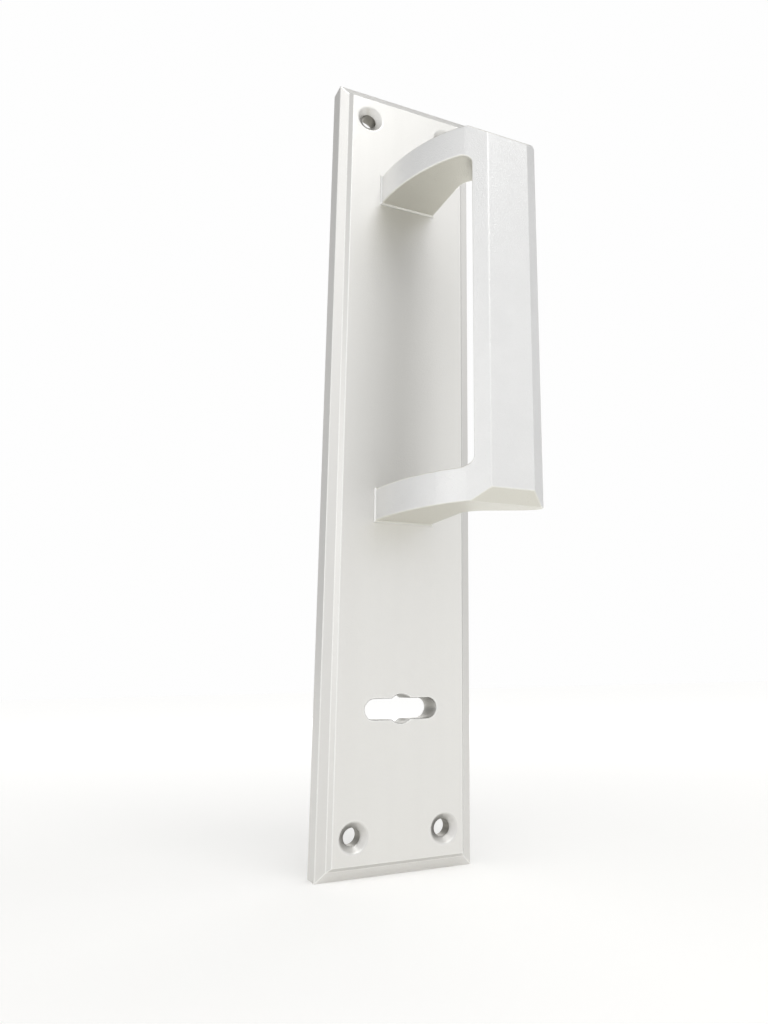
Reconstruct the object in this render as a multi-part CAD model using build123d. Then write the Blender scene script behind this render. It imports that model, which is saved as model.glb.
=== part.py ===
from build123d import *
import os

# Pull handle on a backplate. Millimetres, +Z up, X to the right across the plate.
# The origin is the centre of the plate's back face, and the front faces -Y.

# Backplate
PLATE_WIDTH = 46.4
PLATE_HEIGHT = 245.0
PLATE_THICK = 9.2
EDGE_THICK = 6.4
BEVEL_WIDTH = 2.7
BEVEL_RISE = 1.2
BORDER_WIDTH = 3.8
CREASE_RADIUS = 0.5
PANEL_EDGE_RADIUS = 0.6
OUTER_EDGE_RADIUS = 0.3

# Door screw holes, countersunk from the front and relieved behind
DOOR_HOLE_FROM_SIDE = 9.7
DOOR_HOLE_FROM_END = 11.0
DOOR_HOLE_RADIUS = 2.4
DOOR_SINK_RADIUS = 4.2
DOOR_SINK_ROUND = 0.8
DOOR_RELIEF_RADIUS = 4.5
DOOR_RELIEF_DEPTH = 3.1

# Lock slot, lying across the plate, with a round eye in its middle
SLOT_FROM_BOTTOM = 44.5
SLOT_LENGTH = 22.0
SLOT_HEIGHT = 5.8
SLOT_EYE_RADIUS = 4.05
SLOT_EDGE_CHAMFER = 0.25

# Handle, a section of constant shape that stands along Z
HANDLE_LENGTH = 114.8
HANDLE_FROM_TOP = 31.4
LEG_HEIGHT = 9.7
PROJECTION = 51.5
FOOT_WIDTH = 18.3
FOOT_LIP = 0.5
WEB_BEND_RUN = 5.4
WEB_BEND_BACK = 8.6
WEB_CREASE_ANGLE = 7.0
WEB_CREASE_RADIUS = 4.0
FACET_START_X = 3.0
FACET_RUN = 5.1
FACET_DROP = 4.9
FRONT_WIDTH = 13.4
NOSE_RUN = 6.7
NOSE_DROP = 6.2
NOSE_CURVE_RUN = 6.3
GRIP_DEPTH = 22.5
FINGER_HOLLOW_RADIUS = 8.0
FINGER_SLOPE = 65.0
NOSE_RADIUS = 1.5
FACET_EDGE_RADIUS = 0.6
SOFT_EDGE_RADIUS = 0.4
END_CHAMFER_HEIGHT = 3.6
END_CHAMFER_SHORT = 0.5

# Finger window, milled through the legs' web from the left
WINDOW_LIP = 3.88
WINDOW_FLOOR_X = 12.0
WINDOW_RADIUS = 3.0

# Countersunk machine screws that hold the handle from behind
SCREW_RADIUS = 2.5
SCREW_HEAD_RADIUS = 5.0
SCREW_LENGTH = 20.0
SCREW_SUNK = 0.3
SCREW_SEAT_CLEARANCE = 0.05
SOCKET_FLATS = 3.0
SOCKET_DEPTH = 1.9
SCREW_HOLE_CLEARANCE = 0.25
THREAD_CLEARANCE = 0.05
TAPPED_SPARE = 1.5

# Places worked out from the sizes above
HANDLE_TOP = PLATE_HEIGHT / 2 - HANDLE_FROM_TOP
HANDLE_BOTTOM = HANDLE_TOP - HANDLE_LENGTH
HANDLE_Z = (HANDLE_TOP + HANDLE_BOTTOM) / 2
WINDOW_TOP = HANDLE_TOP - LEG_HEIGHT
WINDOW_BOTTOM = HANDLE_BOTTOM + LEG_HEIGHT
LEG_CENTRES = (HANDLE_BOTTOM + LEG_HEIGHT / 2, HANDLE_TOP - LEG_HEIGHT / 2)
END_CHAMFER_DEPTH = FACET_DROP - END_CHAMFER_SHORT
FRONT_LEFT_X = FACET_START_X + FACET_RUN
FRONT_RIGHT_X = FRONT_LEFT_X + FRONT_WIDTH
DOOR_HOLE_X = PLATE_WIDTH / 2 - DOOR_HOLE_FROM_SIDE
DOOR_HOLE_Z = PLATE_HEIGHT / 2 - DOOR_HOLE_FROM_END
SLOT_Z = SLOT_FROM_BOTTOM - PLATE_HEIGHT / 2
OVERRUN = 5.0
TOUCH = 0.001


def border_profile(width):
    """Face of the plate's cross-section, width across and depth towards -Y."""
    half = width / 2
    outer = (half, -EDGE_THICK)
    crease = (half - BEVEL_WIDTH, -EDGE_THICK - BEVEL_RISE)
    panel = (half - BORDER_WIDTH, -PLATE_THICK)
    right = [(half, 0), outer, crease, panel]
    left = [(-x, y) for x, y in reversed(right)]
    with BuildSketch() as sketch:
        with BuildLine():
            Polyline(*right, *left, close=True)
        make_face()
        corners = sketch.vertices()
        for point, radius in ((outer, OUTER_EDGE_RADIUS), (crease, CREASE_RADIUS),
                              (panel, PANEL_EDGE_RADIUS)):
            pair = [v for v in corners if (Vector(abs(v.X), v.Y) - Vector(*point)).length < TOUCH]
            fillet(pair, radius)
    return sketch.sketch


def plate_blank():
    """The plate with mitred corners: two prisms of the border profile, crossed."""
    along_z = extrude(border_profile(PLATE_WIDTH), PLATE_HEIGHT / 2, both=True)
    upright = Plane(origin=(0, 0, 0), x_dir=(0, 0, 1), z_dir=(-1, 0, 0))
    along_x = extrude(upright * border_profile(PLATE_HEIGHT), PLATE_WIDTH / 2, both=True)
    return along_z & along_x


def cone_cut(x, z, y, radius, towards):
    """A 90 degree cone with its mouth at depth y, narrowing along towards."""
    mouth = Plane(origin=(x, y - towards * OVERRUN, z), z_dir=(0, towards, 0))
    height = radius + OVERRUN
    return mouth * Cone(height, 0, height, align=(Align.CENTER, Align.CENTER, Align.MIN))


def round_bar(x, z, radius, start, length):
    """A cylinder along -Y from y = start, for a hole or a screw's shank."""
    mouth = Plane(origin=(x, start, z), z_dir=(0, -1, 0))
    return mouth * Cylinder(radius, length, align=(Align.CENTER, Align.CENTER, Align.MIN))


def slot_outline(grow=0.0):
    """The lock slot and its eye, grown on every side."""
    slot = SlotOverall(SLOT_LENGTH + 2 * grow, SLOT_HEIGHT + 2 * grow)
    return slot + Circle(SLOT_EYE_RADIUS + grow)


def sink_rims(plate):
    """Round edges where the door countersinks open into the plate's front face."""
    circles = plate.edges().filter_by(GeomType.CIRCLE)
    return [e for e in circles if abs(e.radius - DOOR_SINK_RADIUS) < TOUCH]


def backplate():
    plate = plate_blank()
    through = PLATE_THICK + 2 * OVERRUN
    for x in (-DOOR_HOLE_X, DOOR_HOLE_X):
        for z in (-DOOR_HOLE_Z, DOOR_HOLE_Z):
            plate -= round_bar(x, z, DOOR_HOLE_RADIUS, OVERRUN, through)
            plate -= round_bar(x, z, DOOR_RELIEF_RADIUS, OVERRUN, OVERRUN + DOOR_RELIEF_DEPTH)
            plate -= cone_cut(x, z, -PLATE_THICK, DOOR_SINK_RADIUS, 1)
    plate = fillet(sink_rims(plate), DOOR_SINK_ROUND)
    for z in LEG_CENTRES:
        plate -= round_bar(0, z, SCREW_RADIUS + SCREW_HOLE_CLEARANCE, OVERRUN, through)
        plate -= cone_cut(0, z, 0, SCREW_HEAD_RADIUS + SCREW_SUNK + SCREW_SEAT_CLEARANCE, -1)
    front = Plane(origin=(0, -PLATE_THICK, SLOT_Z), x_dir=(1, 0, 0), z_dir=(0, -1, 0))
    plate -= extrude(front * slot_outline(), -through)
    break_edge = loft([front.offset(-SLOT_EDGE_CHAMFER) * slot_outline(),
                       front * slot_outline(SLOT_EDGE_CHAMFER)])
    return plate - break_edge


def handle_section():
    """Plan of the handle, from its foot on the plate out to the faceted grip."""
    foot_left = (-FOOT_WIDTH / 2, -PLATE_THICK)
    foot_right = (FOOT_WIDTH / 2, -PLATE_THICK)
    facet_start = (FACET_START_X, FACET_DROP - PROJECTION)
    web_bend = (FACET_START_X - WEB_BEND_RUN, FACET_DROP + WEB_BEND_BACK - PROJECTION)
    front_left = (FRONT_LEFT_X, -PROJECTION)
    front_right = (FRONT_RIGHT_X, -PROJECTION)
    nose = (FRONT_RIGHT_X + NOSE_RUN, NOSE_DROP - PROJECTION)
    finger_root = (FOOT_WIDTH / 2, GRIP_DEPTH - PROJECTION)
    facet_line = Vector(*facet_start) - Vector(*front_left)
    web_lean = facet_line.rotate(Axis.Z, -WEB_CREASE_ANGLE)
    with BuildSketch() as sketch:
        with BuildLine():
            Line(foot_right, foot_left)
            upper_web = TangentArc(facet_start, web_bend, tangent=web_lean)
            TangentArc(web_bend, foot_left, tangent=upper_web % 1)
            Polyline(facet_start, front_left, front_right, nose)
            Line(foot_right, finger_root)
            hollow = JernArc(finger_root, (0, -1), FINGER_HOLLOW_RADIUS, FINGER_SLOPE)
            flat_run = nose[0] - NOSE_CURVE_RUN - (hollow @ 1).X
            flat = Line(hollow @ 1, hollow @ 1 + (hollow % 1) * (flat_run / (hollow % 1).X))
            TangentArc(flat @ 1, nose, tangent=flat % 1)
        make_face()
        for point, radius in ((facet_start, WEB_CREASE_RADIUS), (front_left, FACET_EDGE_RADIUS),
                              (front_right, FACET_EDGE_RADIUS), (nose, NOSE_RADIUS)):
            corner = [v for v in sketch.vertices() if (v.center() - Vector(*point)).length < 1e-6]
            fillet(corner, radius)
    return sketch.sketch


def finger_window():
    """The milled opening, with round corners where it meets the grip."""
    depth = PROJECTION - WINDOW_LIP
    side = Plane(origin=(WINDOW_FLOOR_X, 0, HANDLE_Z), x_dir=(0, -1, 0), z_dir=(-1, 0, 0))
    outline = Pos(depth / 2, 0) * Rectangle(depth, WINDOW_TOP - WINDOW_BOTTOM)
    outline = fillet(outline.vertices().sort_by(Axis.X)[-2:], WINDOW_RADIUS)
    return extrude(side * outline, PLATE_WIDTH)


def end_chamfer(end_z, inwards):
    """Wedge that takes the outer corner off one end of the handle."""
    start = END_CHAMFER_DEPTH - PROJECTION
    out = END_CHAMFER_DEPTH + OVERRUN
    drop = inwards * END_CHAMFER_HEIGHT * out / END_CHAMFER_DEPTH
    with BuildSketch(Plane.YZ) as sketch:
        with BuildLine():
            Polyline((start, end_z), (start - out, end_z), (start - out, end_z + drop), close=True)
        make_face()
    return extrude(sketch.sketch, PLATE_WIDTH, both=True)


def foot_lip(z):
    """Low flared lip round a foot, where the leg meets the plate."""
    seat = Plane(origin=(0, -PLATE_THICK, z), x_dir=(1, 0, 0), z_dir=(0, -1, 0))
    base = Rectangle(FOOT_WIDTH + 2 * FOOT_LIP, LEG_HEIGHT + 2 * FOOT_LIP)
    return extrude(seat * base, 2 * FOOT_LIP, taper=45)


def lies_between(edge, low, high):
    """Whether the whole edge stays between two heights."""
    return all(low - TOUCH < (edge @ t).Z < high + TOUCH for t in (0, 0.5, 1))


def soft_edges(handle):
    """Edges broken by polishing: both end outlines and the rim of the window."""
    chosen = []
    for edge in handle.edges():
        at_top = lies_between(edge, HANDLE_TOP - END_CHAMFER_HEIGHT, HANDLE_TOP)
        at_bottom = lies_between(edge, HANDLE_BOTTOM, HANDLE_BOTTOM + END_CHAMFER_HEIGHT)
        if (at_top or at_bottom) and (edge @ 0.5).Y < -PLATE_THICK - TOUCH:
            chosen.append(edge)
    for edge in handle.edges().filter_by(Axis.X, reverse=True):
        if lies_between(edge, WINDOW_BOTTOM, WINDOW_TOP) and (edge @ 0.5).X < WINDOW_FLOOR_X - TOUCH:
            chosen.append(edge)
    return chosen


def pull_handle():
    handle = extrude(Pos(0, 0, HANDLE_BOTTOM) * handle_section(), HANDLE_LENGTH)
    handle -= end_chamfer(HANDLE_BOTTOM, 1)
    handle -= end_chamfer(HANDLE_TOP, -1)
    handle -= finger_window()
    handle = fillet(soft_edges(handle), SOFT_EDGE_RADIUS)
    tapped_depth = SCREW_LENGTH + SCREW_SUNK - PLATE_THICK + TAPPED_SPARE
    for z in LEG_CENTRES:
        handle += foot_lip(z)
        handle -= round_bar(0, z, SCREW_RADIUS + THREAD_CLEARANCE, -PLATE_THICK, tapped_depth)
    return handle


def handle_screw(z):
    """Countersunk socket screw, head sunk just below the plate's back face."""
    shank = round_bar(0, z, SCREW_RADIUS, -SCREW_SUNK, SCREW_LENGTH)
    head_height = SCREW_HEAD_RADIUS - SCREW_RADIUS
    seat = Plane(origin=(0, -SCREW_SUNK, z), z_dir=(0, -1, 0))
    low = (Align.CENTER, Align.CENTER, Align.MIN)
    head = seat * Cone(SCREW_HEAD_RADIUS, SCREW_RADIUS, head_height, align=low)
    socket = extrude(seat * RegularPolygon(SOCKET_FLATS / 2, 6, major_radius=False), SOCKET_DEPTH)
    return shank + head - socket


def main():
    os.makedirs("parts", exist_ok=True)
    export_step(backplate(), "parts/backplate.step")
    export_step(pull_handle(), "parts/pull_handle.step")
    screws = Compound(children=[handle_screw(z) for z in LEG_CENTRES])
    export_step(screws, "parts/handle_screws.step")


main()
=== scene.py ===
import math
import bpy
from mathutils import Matrix, Vector


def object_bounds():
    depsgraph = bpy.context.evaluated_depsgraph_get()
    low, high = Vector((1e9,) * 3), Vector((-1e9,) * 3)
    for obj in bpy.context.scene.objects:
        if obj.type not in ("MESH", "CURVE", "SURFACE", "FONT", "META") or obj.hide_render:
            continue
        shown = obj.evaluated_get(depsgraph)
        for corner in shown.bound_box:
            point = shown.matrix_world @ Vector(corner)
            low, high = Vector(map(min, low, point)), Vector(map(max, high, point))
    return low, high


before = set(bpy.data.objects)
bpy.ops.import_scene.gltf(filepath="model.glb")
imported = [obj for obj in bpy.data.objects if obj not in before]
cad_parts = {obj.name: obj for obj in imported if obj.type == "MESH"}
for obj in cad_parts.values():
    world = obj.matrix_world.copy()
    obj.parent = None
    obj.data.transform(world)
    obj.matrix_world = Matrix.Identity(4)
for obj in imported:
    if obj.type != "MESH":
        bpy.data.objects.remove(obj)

cad_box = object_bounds()
scene = bpy.context.scene
scene.view_settings.view_transform = "Standard"

# Camera, low at the left and looking up along the plate, with its focus and axis in pixels
PICTURE_SIZE = (768, 1024)
CAMERA_PLACE = (-0.09785, -0.25192, -0.06986)
CAMERA_YAW = 0.51381
CAMERA_PITCH = 0.23782
CAMERA_ROLL = -0.01897
CAMERA_FOCUS = 867.386
CAMERA_AXIS = (515.0, 467.08)
CAMERA_REACH = (0.005, 20.0)
SENSOR_WIDTH = 36.0

# Room light: a white backdrop beyond the object, and soft lobes of light on the other sides
BACKDROP_AXIS = (0.3702, 0.9133, 0.1698)
BACKDROP_FULL = math.radians(38.0)
BACKDROP_EDGE = math.radians(43.0)
BACKDROP_WHITE = 0.99
ROOM_SIDES = {
    "front": ((0.0, -1.0, 0.0), 0.58),
    "left": ((-1.0, 0.0, 0.0), 0.74),
    "right": ((1.0, 0.0, 0.0), 0.59),
    "top": ((0.0, 0.0, 1.0), 0.30),
}

# Softboxes, each by its turn to the right of the front, its height angle, its width and its power
SOFTBOXES = {
    "front_high_box": (0.0, 60.0, 0.5, 1.95),
    "front_box": (0.0, 35.0, 0.5, 0.28),
    "front_low_box": (30.0, 10.0, 0.5, 0.148),
    "front_right_box": (60.0, 35.0, 0.5, 0.33),
    "back_right_box": (150.0, 14.0, 0.9, 2.3),
    "left_low_box": (270.0, 10.0, 0.5, 0.545),
    "front_left_box": (330.0, 35.0, 0.5, 0.36),
}
SOFTBOX_DISTANCE = 1.0
LIGHT_TARGET = Vector((0.0, -0.02, 0.0))

# Floor, which glows a little more from the near to the far distance, to meet the backdrop
FLOOR_HALF = 4.0
FLOOR_PALE = (0.97, 0.965, 0.95)
FLOOR_ROUGHNESS = 0.9
FLOOR_DISTANCES = (0.10, 1.1)
FLOOR_GLOWS = (0.13, 0.40)

# Satin finish, with patterns per metre, and depths and distances in metres
GRAIN_SCALE = 3500.0
GRAIN_DETAIL = 2.0
RIPPLE_SCALE = 2000.0
RIPPLE_DETAIL = 1.0
CLOUD_SCALE = 110.0
CLOUD_DETAIL = 4.0
CLOUD_SPAN = (0.3, 0.7)
HEIGHT_SPAN = (0.7, 1.3)
PLATE_GRAIN_DEPTH = 0.00003
HANDLE_GRAIN_DEPTH = 0.00008
DRAWN_STREAK = 0.08
NO_STREAK = 1.0
SATIN_ROUGHNESS = (0.37, 0.43)
SCREW_ROUGHNESS = (0.28, 0.42)
EDGE_RADIUS = 0.00038
HOLE_REACH = 0.012

# Where the masks of painted shade and painted highlight start and where they are full, as shares of open
# sky and as cosines
HOLE_OPENNESS = (0.45, 0.72)
EDGE_TURNS = (0.999, 0.985)
END_FACE_SHADE_TURNS = (0.15, 0.40)
BORDER_SHADE_TURNS = (0.98, 0.93)

# Colours, those of the three metals in a dull and a bright shade, then the tones of painted highlight and
# painted shade
PLATE_SILVER = ((0.790, 0.782, 0.756), (0.810, 0.802, 0.776))
HANDLE_SILVER = ((0.79, 0.79, 0.785), (0.81, 0.81, 0.805))
SCREW_STEEL = ((0.55, 0.56, 0.57), (0.65, 0.66, 0.66))
# Painted highlight: a brighter tone laid along sharp edges
EDGE_PAINTED_HIGHLIGHT = (0.96, 0.96, 0.94)
# Painted shade: a dark tone laid deep in holes and recesses
PAINTED_HOLE_SHADE = (0.26, 0.25, 0.22)
# Painted shade: a darker, warmer tone on the handle's faces that point up or down, standing in for shade
# and warm floor light
END_FACE_PAINTED_SHADE = (0.705, 0.694, 0.63)
# Painted shade: a darker, warmer tone on the plate's faces turned from the front and back, its sides,
# bevels and hole walls
BORDER_PAINTED_SHADE = (0.735, 0.727, 0.705)
WHITE = (1.0, 1.0, 1.0)

FLOAT = "NodeSocketFloat"
VECTOR = "NodeSocketVector"


def add_node(tree, kind, place, **settings):
    made = tree.nodes.new(kind)
    made.location = place
    for name, value in settings.items():
        setattr(made, name, value)
    return made


def spread(tree, source, before, after, place):
    """Maps a value from one span onto another."""
    span = add_node(tree, "ShaderNodeMapRange", place)
    span.inputs["From Min"].default_value, span.inputs["From Max"].default_value = before
    span.inputs["To Min"].default_value, span.inputs["To Max"].default_value = after
    tree.links.new(source, span.inputs["Value"])
    return span.outputs["Result"]


def lay_over(tree, below, colour, mask, place):
    """Lays a plain colour over another where the mask is one."""
    mixed = add_node(tree, "ShaderNodeMix", place, data_type="RGBA")
    mixed.inputs["B"].default_value = (*colour, 1.0)
    tree.links.new(below, mixed.inputs["A"])
    tree.links.new(mask, mixed.inputs["Factor"])
    return mixed.outputs["Result"]


def make_camera():
    data = bpy.data.cameras.new("camera")
    camera = bpy.data.objects.new("camera", data)
    scene.collection.objects.link(camera)
    flat = math.cos(CAMERA_PITCH)
    ahead = Vector((math.sin(CAMERA_YAW) * flat, math.cos(CAMERA_YAW) * flat, math.sin(CAMERA_PITCH)))
    level = Vector((math.cos(CAMERA_YAW), -math.sin(CAMERA_YAW), 0.0))
    above = level.cross(ahead)
    right = level * math.cos(CAMERA_ROLL) + above * math.sin(CAMERA_ROLL)
    up = above * math.cos(CAMERA_ROLL) - level * math.sin(CAMERA_ROLL)
    turn = Matrix((right, up, -ahead)).transposed().to_4x4()
    camera.matrix_world = Matrix.Translation(CAMERA_PLACE) @ turn
    width, height = PICTURE_SIZE
    data.sensor_width = SENSOR_WIDTH
    data.lens = CAMERA_FOCUS / height * SENSOR_WIDTH
    data.shift_x = (width / 2 - CAMERA_AXIS[0]) / height
    data.shift_y = (CAMERA_AXIS[1] - height / 2) / height
    data.clip_start, data.clip_end = CAMERA_REACH
    scene.camera = camera


def seen_directly(tree, place):
    """One for what the camera sees straight on, or in metal or through glass."""
    path = add_node(tree, "ShaderNodeLightPath", place)
    mirrored = add_node(tree, "ShaderNodeMath", (place[0] + 200, place[1]), operation="MAXIMUM")
    tree.links.new(path.outputs["Is Camera Ray"], mirrored.inputs[0])
    tree.links.new(path.outputs["Is Glossy Ray"], mirrored.inputs[1])
    through = add_node(tree, "ShaderNodeMath", (place[0] + 400, place[1]), operation="MAXIMUM")
    tree.links.new(mirrored.outputs["Value"], through.inputs[0])
    tree.links.new(path.outputs["Is Transmission Ray"], through.inputs[1])
    return through.outputs["Value"]


def facing(tree, place, side, row):
    """Cosine between the direction looked in and one side of the room."""
    made = add_node(tree, "ShaderNodeVectorMath", (-700, -200 * row), operation="DOT_PRODUCT")
    made.inputs[1].default_value = side
    tree.links.new(place.outputs["Generated"], made.inputs[0])
    return made.outputs["Value"]


def room_strength(tree):
    """Sum of soft lobes of light, and the white backdrop laid over them."""
    place = add_node(tree, "ShaderNodeTexCoord", (-900, 0))
    total = None
    for row, (side, strength) in enumerate(ROOM_SIDES.values()):
        lobe = add_node(tree, "ShaderNodeMath", (-500, -200 * row), operation="MAXIMUM")
        lobe.inputs[1].default_value = 0.0
        tree.links.new(facing(tree, place, side, row), lobe.inputs[0])
        added = add_node(tree, "ShaderNodeMath", (-300, -200 * row), operation="MULTIPLY_ADD")
        added.inputs[1].default_value = strength
        added.inputs[2].default_value = 0.0
        tree.links.new(lobe.outputs["Value"], added.inputs[0])
        if total:
            tree.links.new(total, added.inputs[2])
        total = added.outputs["Value"]
    patch = add_node(tree, "ShaderNodeMapRange", (-300, 300), interpolation_type="SMOOTHSTEP")
    patch.inputs["From Min"].default_value = math.cos(BACKDROP_EDGE)
    patch.inputs["From Max"].default_value = math.cos(BACKDROP_FULL)
    tree.links.new(facing(tree, place, BACKDROP_AXIS, -2), patch.inputs["Value"])
    white = add_node(tree, "ShaderNodeMath", (-200, 500), operation="MULTIPLY")
    tree.links.new(seen_directly(tree, (-900, 600)), white.inputs[0])
    tree.links.new(patch.outputs["Result"], white.inputs[1])
    strength = add_node(tree, "ShaderNodeMix", (-100, 0), data_type="FLOAT")
    strength.inputs["B"].default_value = BACKDROP_WHITE
    tree.links.new(white.outputs["Value"], strength.inputs["Factor"])
    tree.links.new(total, strength.inputs["A"])
    return strength.outputs["Result"]


def make_room():
    world = bpy.data.worlds.new("room")
    scene.world = world
    world.use_nodes = True
    tree = world.node_tree
    light = tree.nodes["Background"]
    light.inputs["Color"].default_value = (*WHITE, 1.0)
    tree.links.new(room_strength(tree), light.inputs["Strength"])


def make_softbox(name, turn, height, width, power):
    data = bpy.data.lights.new(name, "AREA")
    data.shape = "SQUARE"
    data.size = width
    data.energy = power
    lamp = bpy.data.objects.new(name, data)
    turn, height = math.radians(turn), math.radians(height)
    flat = math.cos(height)
    away = Vector((flat * math.sin(turn), -flat * math.cos(turn), math.sin(height)))
    lamp.location = LIGHT_TARGET + away * SOFTBOX_DISTANCE
    lamp.rotation_mode = "QUATERNION"
    lamp.rotation_quaternion = (-away).to_track_quat("-Z", "Y")
    scene.collection.objects.link(lamp)


def floor_glow(tree):
    """Glow that grows with the distance along the floor, for rays that see it directly."""
    place = add_node(tree, "ShaderNodeTexCoord", (-900, -500))
    level = add_node(tree, "ShaderNodeVectorMath", (-700, -500), operation="MULTIPLY")
    level.inputs[1].default_value = (1.0, 1.0, 0.0)
    tree.links.new(place.outputs["Object"], level.inputs[0])
    away = add_node(tree, "ShaderNodeVectorMath", (-500, -500), operation="LENGTH")
    tree.links.new(level.outputs["Vector"], away.inputs[0])
    glow = spread(tree, away.outputs["Value"], FLOOR_DISTANCES, FLOOR_GLOWS, (-300, -500))
    seen = add_node(tree, "ShaderNodeMath", (-100, -300), operation="MULTIPLY")
    tree.links.new(seen_directly(tree, (-900, -200)), seen.inputs[0])
    tree.links.new(glow, seen.inputs[1])
    return seen.outputs["Value"]


def make_floor():
    material = bpy.data.materials.new("floor_white")
    material.use_nodes = True
    tree = material.node_tree
    shader = tree.nodes["Principled BSDF"]
    shader.inputs["Base Color"].default_value = (*FLOOR_PALE, 1.0)
    shader.inputs["Roughness"].default_value = FLOOR_ROUGHNESS
    shader.inputs["Specular IOR Level"].default_value = 0.0
    shader.inputs["Emission Color"].default_value = (*WHITE, 1.0)
    tree.links.new(floor_glow(tree), shader.inputs["Emission Strength"])
    mesh = bpy.data.meshes.new("floor")
    low = cad_box[0].z
    turns = ((-1, -1), (1, -1), (1, 1), (-1, 1))
    corners = [(FLOOR_HALF * x, FLOOR_HALF * y, low) for x, y in turns]
    mesh.from_pydata(corners, [], [(0, 1, 2, 3)])
    mesh.materials.append(material)
    floor = bpy.data.objects.new("floor", mesh)
    scene.collection.objects.link(floor)


def new_group(name, inputs, outputs):
    """A node group with its sockets, and the node where its results go in."""
    group = bpy.data.node_groups.new(name, "ShaderNodeTree")
    for side, sockets in (("INPUT", inputs), ("OUTPUT", outputs)):
        for socket, kind in sockets.items():
            group.interface.new_socket(socket, in_out=side, socket_type=kind)
    return group, add_node(group, "NodeGroupOutput", (0, 0))


def make_grain_group():
    """Fine grain and a softer ripple for the height, and slow clouds that can be drawn out into streaks."""
    inputs = {"Grain Scale": FLOAT, "Ripple Scale": FLOAT, "Streak": FLOAT}
    group, end = new_group("plated_grain", inputs, {"Height": FLOAT, "Cloud": FLOAT})
    start = add_node(group, "NodeGroupInput", (-1100, 0))
    place = add_node(group, "ShaderNodeTexCoord", (-1100, -300))
    grain = add_node(group, "ShaderNodeTexNoise", (-600, 200))
    grain.inputs["Detail"].default_value = GRAIN_DETAIL
    ripple = add_node(group, "ShaderNodeTexNoise", (-600, -100))
    ripple.inputs["Detail"].default_value = RIPPLE_DETAIL
    group.links.new(start.outputs["Grain Scale"], grain.inputs["Scale"])
    group.links.new(start.outputs["Ripple Scale"], ripple.inputs["Scale"])
    for pattern in (grain, ripple):
        group.links.new(place.outputs["Object"], pattern.inputs["Vector"])
    both = add_node(group, "ShaderNodeMath", (-300, 100), operation="ADD")
    group.links.new(grain.outputs["Fac"], both.inputs[0])
    group.links.new(ripple.outputs["Fac"], both.inputs[1])
    drawn = add_node(group, "ShaderNodeCombineXYZ", (-900, -500))
    drawn.inputs["X"].default_value = 1.0
    drawn.inputs["Y"].default_value = 1.0
    group.links.new(start.outputs["Streak"], drawn.inputs["Z"])
    stretched = add_node(group, "ShaderNodeVectorMath", (-750, -400), operation="MULTIPLY")
    group.links.new(place.outputs["Object"], stretched.inputs[0])
    group.links.new(drawn.outputs["Vector"], stretched.inputs[1])
    cloud = add_node(group, "ShaderNodeTexNoise", (-600, -400))
    cloud.inputs["Scale"].default_value = CLOUD_SCALE
    cloud.inputs["Detail"].default_value = CLOUD_DETAIL
    group.links.new(stretched.outputs["Vector"], cloud.inputs["Vector"])
    group.links.new(both.outputs["Value"], end.inputs["Height"])
    group.links.new(cloud.outputs["Fac"], end.inputs["Cloud"])
    return group


def make_hole_shade_group():
    """Mask of painted shade: nothing on open surfaces, growing to one deep in a hole."""
    group, end = new_group("hole_shade", {}, {"Deep": FLOAT})
    near = add_node(group, "ShaderNodeAmbientOcclusion", (-400, 0), samples=12, only_local=True)
    near.inputs["Distance"].default_value = HOLE_REACH
    deep = spread(group, near.outputs["AO"], HOLE_OPENNESS, (1.0, 0.0), (-200, 0))
    group.links.new(deep, end.inputs["Deep"])
    return group


def make_turned_group():
    """Grows from nothing to one as a face turns between two cosines to a direction."""
    inputs = {"Direction": VECTOR, "Nothing At": FLOAT, "Full At": FLOAT}
    group, end = new_group("turned_face", inputs, {"Turned": FLOAT})
    start = add_node(group, "NodeGroupInput", (-800, -200))
    place = add_node(group, "ShaderNodeTexCoord", (-800, 0))
    along = add_node(group, "ShaderNodeVectorMath", (-600, 0), operation="DOT_PRODUCT")
    group.links.new(place.outputs["Normal"], along.inputs[0])
    group.links.new(start.outputs["Direction"], along.inputs[1])
    either = add_node(group, "ShaderNodeMath", (-400, 0), operation="ABSOLUTE")
    group.links.new(along.outputs["Value"], either.inputs[0])
    span = add_node(group, "ShaderNodeMapRange", (-200, 0))
    group.links.new(either.outputs["Value"], span.inputs["Value"])
    group.links.new(start.outputs["Nothing At"], span.inputs["From Min"])
    group.links.new(start.outputs["Full At"], span.inputs["From Max"])
    group.links.new(span.outputs["Result"], end.inputs["Turned"])
    return group


def make_edge_group():
    """Rounds the look of sharp edges, and marks them for a painted highlight, a brighter tone laid on them.
    """
    group, end = new_group("rounded_edge_highlight", {}, {"Normal": VECTOR, "Edge": FLOAT})
    rounded = add_node(group, "ShaderNodeBevel", (-800, 0), samples=6)
    rounded.inputs["Radius"].default_value = EDGE_RADIUS
    flat = add_node(group, "ShaderNodeNewGeometry", (-800, -200))
    match = add_node(group, "ShaderNodeVectorMath", (-600, -100), operation="DOT_PRODUCT")
    group.links.new(rounded.outputs["Normal"], match.inputs[0])
    group.links.new(flat.outputs["Normal"], match.inputs[1])
    edge = spread(group, match.outputs["Value"], EDGE_TURNS, (0.0, 1.0), (-400, -100))
    group.links.new(rounded.outputs["Normal"], end.inputs["Normal"])
    group.links.new(edge, end.inputs["Edge"])
    return group


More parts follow.
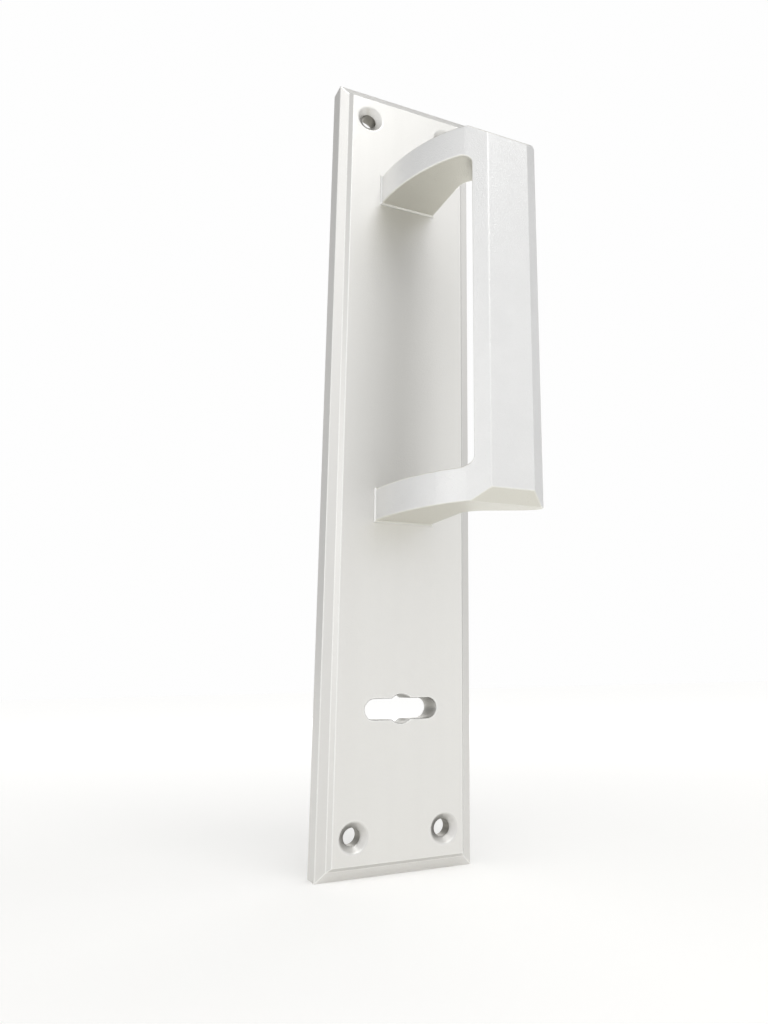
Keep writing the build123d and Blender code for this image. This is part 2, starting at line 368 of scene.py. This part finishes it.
def satin_metal(name, groups, shades, roughness, streak, depth, turned=None):
    """Metal in two cloudy shades, with painted shade on turned faces, a painted highlight on edges and
    painted shade deep in holes.
    """
    material = bpy.data.materials.new(name)
    material.use_nodes = True
    tree = material.node_tree
    shader = tree.nodes["Principled BSDF"]
    shader.inputs["Metallic"].default_value = 1.0
    surface = add_node(tree, "ShaderNodeGroup", (-1100, 0), node_tree=groups["grain"])
    surface.inputs["Grain Scale"].default_value = GRAIN_SCALE
    surface.inputs["Ripple Scale"].default_value = RIPPLE_SCALE
    surface.inputs["Streak"].default_value = streak
    hole_shade = add_node(tree, "ShaderNodeGroup", (-1100, 300), node_tree=groups["hole_shade"])
    edge = add_node(tree, "ShaderNodeGroup", (-1100, -400), node_tree=groups["edge"])

    cloud = spread(tree, surface.outputs["Cloud"], CLOUD_SPAN, (0.0, 1.0), (-850, 100))
    cloudy = add_node(tree, "ShaderNodeMix", (-650, 200), data_type="RGBA")
    tree.links.new(cloud, cloudy.inputs["Factor"])
    for side, shade in zip("AB", shades):
        cloudy.inputs[side].default_value = (*shade, 1.0)
    tone = cloudy.outputs["Result"]
    # Painted shade on faces turned towards or away from the given direction
    if turned:
        direction, (nothing_at, full_at), turned_shade = turned
        mask = add_node(tree, "ShaderNodeGroup", (-1100, 500), node_tree=groups["turned"])
        mask.inputs["Direction"].default_value = direction
        mask.inputs["Nothing At"].default_value = nothing_at
        mask.inputs["Full At"].default_value = full_at
        tone = lay_over(tree, tone, turned_shade, mask.outputs["Turned"], (-480, 250))
    # Painted highlight along the sharp edges
    tone = lay_over(tree, tone, EDGE_PAINTED_HIGHLIGHT, edge.outputs["Edge"], (-320, 280))
    # Painted shade deep in holes and recesses
    tone = lay_over(tree, tone, PAINTED_HOLE_SHADE, hole_shade.outputs["Deep"], (-160, 300))
    tree.links.new(tone, shader.inputs["Base Color"])

    gloss = spread(tree, surface.outputs["Height"], HEIGHT_SPAN, roughness, (-600, -50))
    tree.links.new(gloss, shader.inputs["Roughness"])
    bump = add_node(tree, "ShaderNodeBump", (-350, -250))
    bump.inputs["Strength"].default_value = 1.0
    bump.inputs["Distance"].default_value = depth
    tree.links.new(surface.outputs["Height"], bump.inputs["Height"])
    tree.links.new(edge.outputs["Normal"], bump.inputs["Normal"])
    tree.links.new(bump.outputs["Normal"], shader.inputs["Normal"])
    return material


def dress(node_name, material):
    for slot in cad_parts[node_name].material_slots:
        slot.material = material


make_camera()
make_room()
make_floor()
for box_name, box in SOFTBOXES.items():
    make_softbox(box_name, *box)

groups = {
    "grain": make_grain_group(),
    "hole_shade": make_hole_shade_group(),
    "turned": make_turned_group(),
    "edge": make_edge_group(),
}
# Painted shade on the plate's sides, bevels and hole walls
plate_border_shade = ((0.0, 1.0, 0.0), BORDER_SHADE_TURNS, BORDER_PAINTED_SHADE)
plate_look = (PLATE_SILVER, SATIN_ROUGHNESS, DRAWN_STREAK, PLATE_GRAIN_DEPTH, plate_border_shade)
dress("backplate", satin_metal("silver_plate", groups, *plate_look))
# Painted shade on the handle's faces that point up or down
end_face_shade = ((0.0, 0.0, 1.0), END_FACE_SHADE_TURNS, END_FACE_PAINTED_SHADE)
handle_look = (HANDLE_SILVER, SATIN_ROUGHNESS, NO_STREAK, HANDLE_GRAIN_DEPTH, end_face_shade)
dress("pull_handle", satin_metal("silver_handle", groups, *handle_look))
screw_look = (SCREW_STEEL, SCREW_ROUGHNESS, NO_STREAK, PLATE_GRAIN_DEPTH)
dress("handle_screws", satin_metal("zinc_steel", groups, *screw_look))
